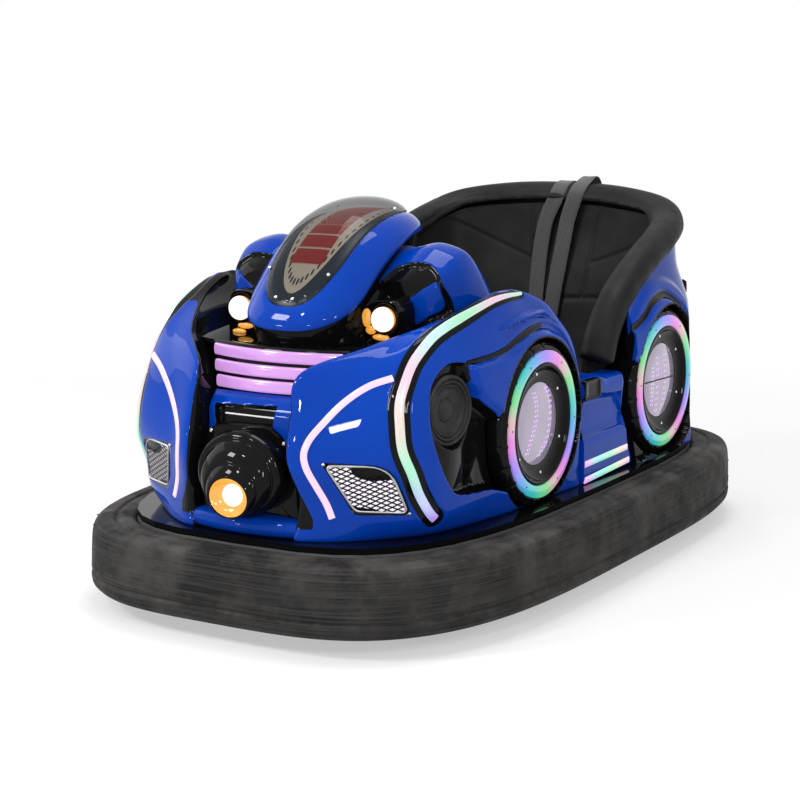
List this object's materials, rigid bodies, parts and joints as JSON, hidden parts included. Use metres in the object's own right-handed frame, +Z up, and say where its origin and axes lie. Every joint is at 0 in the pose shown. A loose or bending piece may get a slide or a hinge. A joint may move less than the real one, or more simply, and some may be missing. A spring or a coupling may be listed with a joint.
{
  "type": "bumper car",
  "caption": "Battery bumper car with a moulded body, padded bucket seat, light strips and a rubber bumper ring round a steel pan.",
  "frame": {"origin": "on the floor under the middle of the bumper ring", "axes": "+Z up, nose of the car towards -Y, the driver's left hand at +X"},
  "size_m": [1.14, 1.95, 0.9339],
  "materials": {
    "painted_blue": "high gloss gelcoat",
    "gloss_black": "high gloss",
    "satin_black": "satin moulded",
    "bumper_rubber": "worn, dusty",
    "tyre_rubber": "solid rubber, scuffed",
    "painted_steel": "satin black enamel",
    "cast_motor": "cast, dull",
    "battery_plastic": "moulded case",
    "seat_vinyl": "grained vinyl, satin",
    "belt_webbing": "woven webbing",
    "light_strip": "lit diffuser",
    "pink_strip": "lit diffuser",
    "lamp_glass": "lit lens",
    "smoked_cover": "smoked, clear",
    "display": "printed panel",
    "grille_metal": "expanded mesh"
  },
  "bodies": {
    "car_body": {"fender_left": "painted_blue", "fender_right": "painted_blue", "nose_lip": "painted_blue", "rear_shell": "painted_blue", "sill_panel_left": "painted_blue", "sill_panel_right": "painted_blue", "cowl_shell": "painted_blue", "dome_collar": "painted_blue", "nose_panel": "painted_blue", "hood_deck": "gloss_black", "nose_lamp_housing": "gloss_black", "wheel_cover_front_left": "gloss_black", "wheel_cover_front_right": "gloss_black", "wheel_cover_rear_left": "gloss_black", "wheel_cover_rear_right": "gloss_black", "headlamp_left": "gloss_black", "headlamp_right": "gloss_black", "skirt_panel": "satin_black", "dashboard": "satin_black", "speaker_left": "satin_black", "speaker_right": "satin_black", "accelerator_pedal": "satin_black", "bumper_tyre": "bumper_rubber", "chassis_pan": "painted_steel", "pan_rim": "painted_steel", "rear_axle": "painted_steel", "steering_column": "painted_steel", "battery_block": "battery_plastic", "seat_shell": "seat_vinyl", "seat_cushion": "seat_vinyl", "seat_roll": "seat_vinyl", "seat_belts": "belt_webbing", "fender_light_left": "light_strip", "fender_light_right": "light_strip", "ring_light_front_left": "light_strip", "ring_light_front_right": "light_strip", "ring_light_rear_left": "light_strip", "ring_light_rear_right": "light_strip", "sill_light_left": "light_strip", "sill_light_right": "light_strip", "nose_light_left": "pink_strip", "nose_light_right": "pink_strip", "grille_light": "pink_strip", "nose_lamp": "lamp_glass", "dome_cover": "smoked_cover", "display_panel": "display", "corner_grille_left": "grille_metal", "corner_grille_right": "grille_metal"},
    "steering_unit": {"steering_fork": "painted_steel", "drive_motor": "cast_motor"},
    "drive_wheel": {"drive_wheel": "tyre_rubber"},
    "rear_wheel_left": {"rear_wheel_left": "tyre_rubber"},
    "rear_wheel_right": {"rear_wheel_right": "tyre_rubber"},
    "steering_wheel": {"steering_wheel": "satin_black"}
  },
  "joints": [
    {"name": "unit_swivel", "type": "hinge", "parent": "car_body", "child": "steering_unit", "pos_m": [0, -0.52, 0.184], "axis": [0, 0, 1], "continuous": true},
    {"name": "drive_wheel_spin", "type": "hinge", "parent": "steering_unit", "child": "drive_wheel", "pos_m": [0, -0.52, 0.08], "axis": [1, 0, 0], "continuous": true},
    {"name": "rear_wheel_left_spin", "type": "hinge", "parent": "car_body", "child": "rear_wheel_left", "pos_m": [0.372, 0.575, 0.08], "axis": [1, 0, 0], "continuous": true},
    {"name": "rear_wheel_right_spin", "type": "hinge", "parent": "car_body", "child": "rear_wheel_right", "pos_m": [-0.372, 0.575, 0.08], "axis": [1, 0, 0], "continuous": true},
    {"name": "steering_wheel_turn", "type": "hinge", "parent": "car_body", "child": "steering_wheel", "pos_m": [0, -0.02, 0.66], "axis": [0, 0.521, 0.8536], "continuous": true}
  ],
  "couplings": [
    {"joint": "steering_wheel_turn", "follows": "unit_swivel", "ratio": 2}
  ]
}
